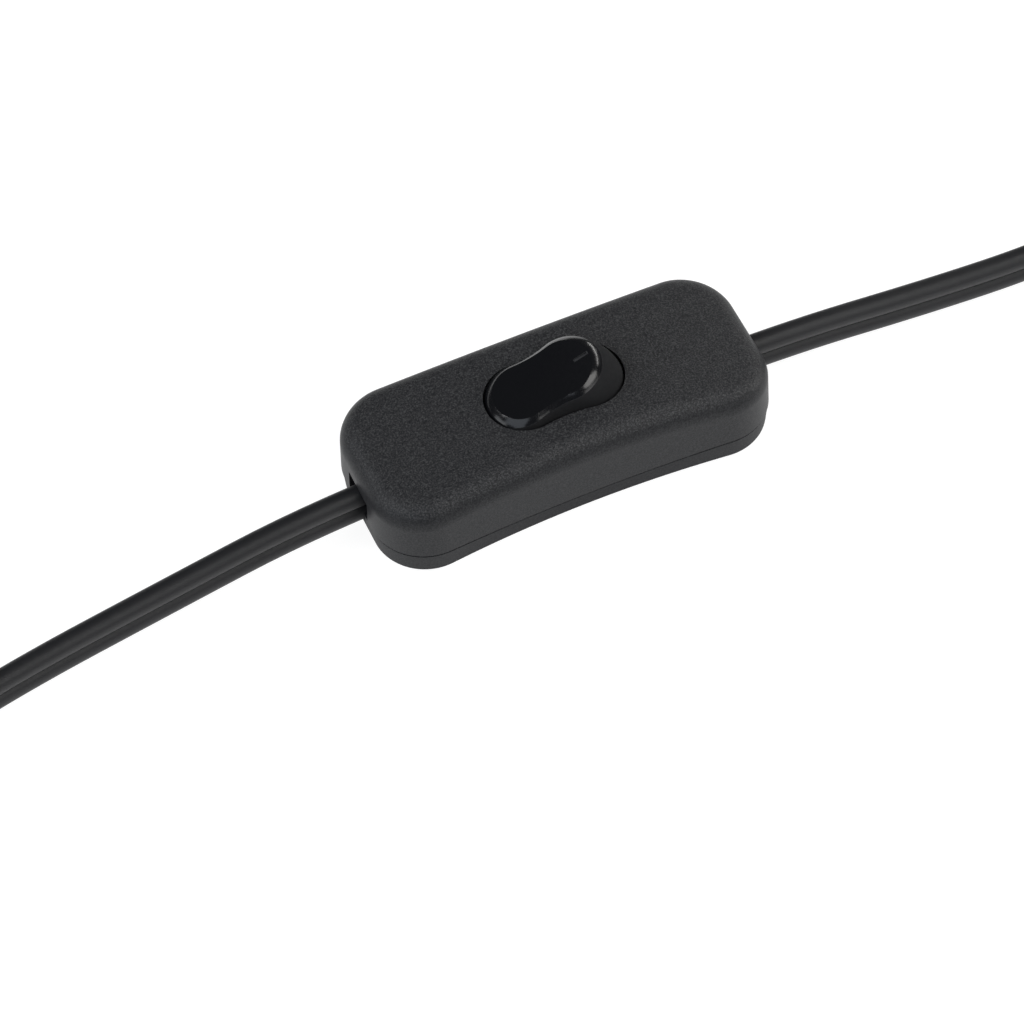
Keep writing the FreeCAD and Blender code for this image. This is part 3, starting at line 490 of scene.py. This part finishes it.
# half width and half height of the plug at each place along it, from the cord to its face
def plugStations(shape):
    def between(low, high, share):
        return tuple(a + (b - a) * share for a, b in zip(low, high))

    def eased(share):
        return share * share * (3 - 2 * share)

    stations = []
    step = (shape["neck"] - shape["reliefStart"]) / shape["rings"]
    for number in range(shape["rings"]):
        half = between(shape["reliefHalf"], shape["neckHalf"], number / shape["rings"])
        thin = tuple(size - shape["ringDepth"] for size in half)
        x = shape["reliefStart"] + number * step
        stations += [(x + part * step, half if out else thin) for part, out in shape["ringParts"]]
    for number in range(1, shape["gripSteps"] + 1):
        share = number / shape["gripSteps"]
        stations.append((shape["neck"] + (shape["grip"] - shape["neck"]) * share,
                         between(shape["neckHalf"], shape["gripHalf"], eased(share))))
    ridge = (shape["shoulder"] - shape["grip"]) / shape["ridges"]
    for number in range(shape["ridges"]):
        for part, out in shape["ridgeParts"]:
            half = between(shape["gripHalf"], shape["bodyHalf"], eased((number + part) / shape["ridges"]))
            depth = out * shape["ridgeDepth"]
            stations.append((shape["grip"] + ridge * (number + part), (half[0] - depth, half[1] - depth / 2)))
    stations.append((shape["shoulder"], shape["bodyHalf"]))
    for angle in shape["edgeTurns"]:
        turn = math.radians(angle)
        drawn = shape["edge"] * (1 - math.cos(turn))
        stations.append((shape["face"] + shape["edge"] * (1 - math.sin(turn)),
                         tuple(size - drawn for size in shape["bodyHalf"])))
    return stations


def finishMesh(bm, name):
    bmesh.ops.recalc_face_normals(bm, faces=bm.faces)
    mesh = bpy.data.meshes.new(name)
    bm.to_mesh(mesh)
    bm.free()
    for face in mesh.polygons:
        face.use_smooth = True
    mesh.set_sharp_from_angle(angle=math.radians(smoothBelow))
    return mesh


# a grid is rolled round the plug's stations and closed at both ends; its strain relief follows the cord
def makePlug(name, shape):
    stations = plugStations(shape)
    rows = len(stations) - 1
    power = 2 / shape["squareness"]
    bm = bmesh.new()
    bmesh.ops.create_grid(bm, x_segments=rows, y_segments=shape["around"], size=0.5)
    for vertex in bm.verts:
        x, half = stations[round((vertex.co.x + 0.5) * rows)]
        turn = math.tau * (vertex.co.y + 0.5)
        y, z = (math.copysign(abs(value) ** power, value) for value in (math.cos(turn), math.sin(turn)))
        along = max(0.0, (x - shape["bendFrom"]) / (shape["reliefStart"] - shape["bendFrom"]))
        bent = along ** shape["bendPower"]
        vertex.co = (x * mm, (shape["across"] + half[0] * y + shape["bendBy"][0] * bent) * mm,
                     (shape["level"] + half[1] * z + shape["bendBy"][1] * bent) * mm)
    bmesh.ops.remove_doubles(bm, verts=bm.verts, dist=mergeWithin)
    bmesh.ops.holes_fill(bm, edges=[edge for edge in bm.edges if edge.is_boundary])
    return addPiece(name, finishMesh(bm, name))


# fine copper wires laid in a twist, spun out of small circles
def makeStrands(name, shape):
    bm = bmesh.new()
    length = shape["end"] - shape["start"]
    for level in shape["levels"]:
        axis = Vector((shape["start"] * mm, shape["across"] * mm, level * mm))
        for number in range(shape["strands"] + 1):
            turn = math.tau * number / shape["strands"]
            away = shape["ringRadius"] if number < shape["strands"] else 0
            place = axis + Vector((0, away * mm * math.cos(turn), away * mm * math.sin(turn)))
            tilt = Matrix.Translation(place) @ Matrix.Rotation(math.radians(90), 4, "Y")
            ring = bmesh.ops.create_circle(bm, segments=shape["strandSides"],
                                           radius=shape["strandRadius"] * mm, matrix=tilt)["verts"]
            edges = list({edge for vertex in ring for edge in vertex.link_edges})
            bmesh.ops.spin(bm, geom=ring + edges, cent=axis, axis=(1, 0, 0),
                           dvec=(length / shape["steps"] * mm, 0, 0), angle=math.tau * shape["turns"],
                           steps=shape["steps"])
    bmesh.ops.remove_doubles(bm, verts=bm.verts, dist=mergeWithin)
    bmesh.ops.holes_fill(bm, edges=[edge for edge in bm.edges if edge.is_boundary])
    return addPiece(name, finishMesh(bm, name))


def makeSpring(name, node):
    bm = bmesh.new()
    bm.from_mesh(node.data)
    bmesh.ops.remove_doubles(bm, verts=bm.verts, dist=mergeWithin)
    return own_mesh(addPiece(name, finishMesh(bm, name), "rocker"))


nodes = frame["nodes"]
springPiece = makeSpring("springCoil", nodes["contact_spring"])
springPiece.data.materials.clear()
springPiece.data.materials.append(materials["spring_steel"])
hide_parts("contact_spring")
print("spring made")

plugPiece = makePlug("mouldedPlug", plugShape)
strandPiece = makeStrands("twistedStrands", strandShape)
print("plug and wire ends made")

section = cordProfile(cordShape)
leftPiece, leftPath = sweepCord("leftFlatCord", leftRoute + hankPoints(leftHank, cordShape) + leftExit,
                                section, len(leftRoute))
rightPiece, rightPath = sweepCord("rightFlatCord", rightRoute + hankPoints(rightHank, cordShape) + rightExit,
                                  section, len(rightRoute) - 1)
bpy.data.objects.remove(section)
for name, path in (("left", leftPath), ("right", rightPath)):
    print(name, "cord", round(sum((b - a).length for a, b in zip(path, path[1:])), 4), "m", len(path), "points")

leftPiece.data.materials.append(materials["cord_pvc"])
rightPiece.data.materials.append(materials["cord_pvc"])
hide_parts("left_cord", "left_hank", "plug_lead")
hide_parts("right_cord", "right_hank", "lamp_lead")
plugPiece.data.materials.append(materials["plug_plastic"])
strandPiece.data.materials.append(materials["copper"])
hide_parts("plug_body")
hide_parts("lamp_ends")
print("cords laid")


# ---- the CAD nodes take the finish that the record names
for part in frame["record"]["subparts"]:
    slots = nodes[part["node"]].material_slots
    for slot in slots:
        slot.material = materials[part["material_slot"]]
print("nodes finished")
